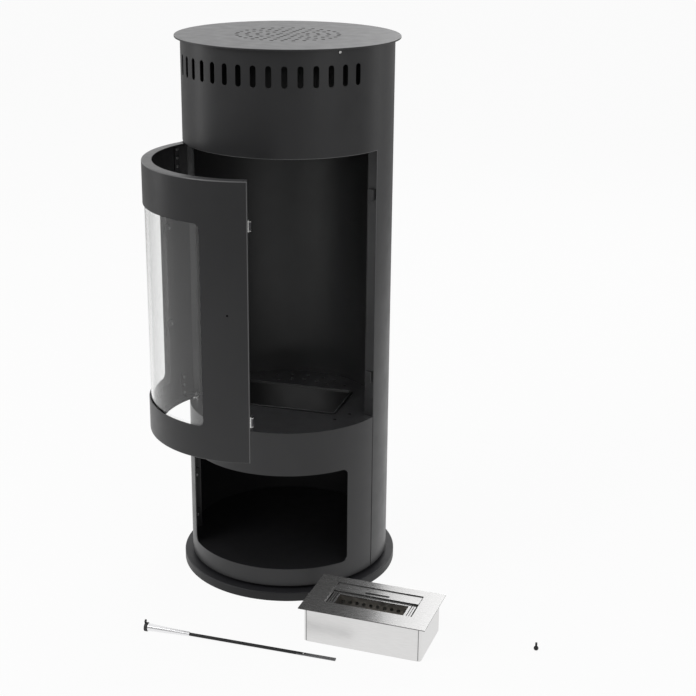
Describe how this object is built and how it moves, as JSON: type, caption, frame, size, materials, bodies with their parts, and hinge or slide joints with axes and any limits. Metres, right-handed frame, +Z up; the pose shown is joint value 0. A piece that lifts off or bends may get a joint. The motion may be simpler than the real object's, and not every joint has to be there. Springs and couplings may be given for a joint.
{
  "type": "bioethanol fireplace",
  "caption": "Tall round free-standing bioethanol fireplace with a curved glazed door standing open, a storage bay below, a lift-out stainless burner, its operating hook and the loose door knob.",
  "frame": {"origin": "on the floor, on the axis of the round body", "axes": "+Z up along the body's axis, -Y towards the front opening, +X to the right seen from the front"},
  "size_m": [0.7664, 0.6065, 1.05],
  "materials": {
    "black_coat": "fine matte powder coat",
    "dark_metal": "satin black",
    "catch_plastic": "matte",
    "seal_rubber": "matte",
    "zinc_fasteners": "bright zinc plate",
    "bright_steel": "polished",
    "brushed_stainless": "brushed",
    "heat_tinted_steel": "dull, heat tinted",
    "ceramic_wool": "matte fibre",
    "door_glass": "clear, slightly tinted"
  },
  "bodies": {
    "stove": {"base_plinth": "black_coat", "foot_ring": "black_coat", "base_screws": "zinc_fasteners", "storage_floor": "black_coat", "rear_shell": "black_coat", "drum_shell": "black_coat", "jamb_flanges": "black_coat", "header_flange": "black_coat", "front_panel": "black_coat", "panel_brackets": "black_coat", "panel_screws": "zinc_fasteners", "firebox_floor": "black_coat", "burner_seat": "black_coat", "firebox_liner": "black_coat", "firebox_ceiling": "black_coat", "deflector_spacers": "zinc_fasteners", "heat_deflector": "black_coat", "lid_collar": "black_coat", "top_lid": "black_coat", "lid_screws": "zinc_fasteners", "top_pivot_bush": "zinc_fasteners", "bottom_pivot_bush": "zinc_fasteners", "strike_pads": "black_coat"},
    "door": {"door_skin": "black_coat", "door_top_rim": "black_coat", "door_bottom_rim": "black_coat", "door_free_flange": "black_coat", "top_hinge_bracket": "black_coat", "bottom_hinge_bracket": "black_coat", "hinge_screws": "zinc_fasteners", "top_hinge_pin": "zinc_fasteners", "bottom_hinge_pin": "zinc_fasteners", "glass_seal": "seal_rubber", "door_glass": "door_glass", "glass_clips": "black_coat", "clip_screws": "zinc_fasteners", "magnet_catches": "bright_steel"},
    "burner": {"burner_tank": "brushed_stainless", "burner_plate": "brushed_stainless", "recess_frame": "brushed_stainless", "fire_trough": "heat_tinted_steel", "absorbent_wool": "ceramic_wool"},
    "shutter": {"burner_shutter": "brushed_stainless"},
    "hook": {"hook_cap": "catch_plastic", "hook_handle": "bright_steel", "hook_rod": "dark_metal", "hook_blade": "brushed_stainless"},
    "knob": {"door_knob": "dark_metal"}
  },
  "joints": [
    {"name": "door_hinge", "type": "hinge", "parent": "stove", "child": "door", "pos_m": [-0.17184, -0.06799, 0.6], "axis": [0, 0, -1], "range_deg": [-52.5, 42.5]},
    {"name": "burner_lift", "type": "slide", "parent": "stove", "child": "burner", "axis": [0, 0, 1], "range_m": [0, 0.3]},
    {"name": "shutter_slide", "type": "slide", "parent": "burner", "child": "shutter", "axis": [-0.0576, -0.9983, 0], "range_m": [0, 0.0475]},
    {"name": "hook_lift", "type": "slide", "parent": "stove", "child": "hook", "axis": [0, 0, 1], "range_m": [0, 0.3]},
    {"name": "knob_lift", "type": "slide", "parent": "stove", "child": "knob", "axis": [0, 0, 1], "range_m": [0, 0.3]}
  ]
}
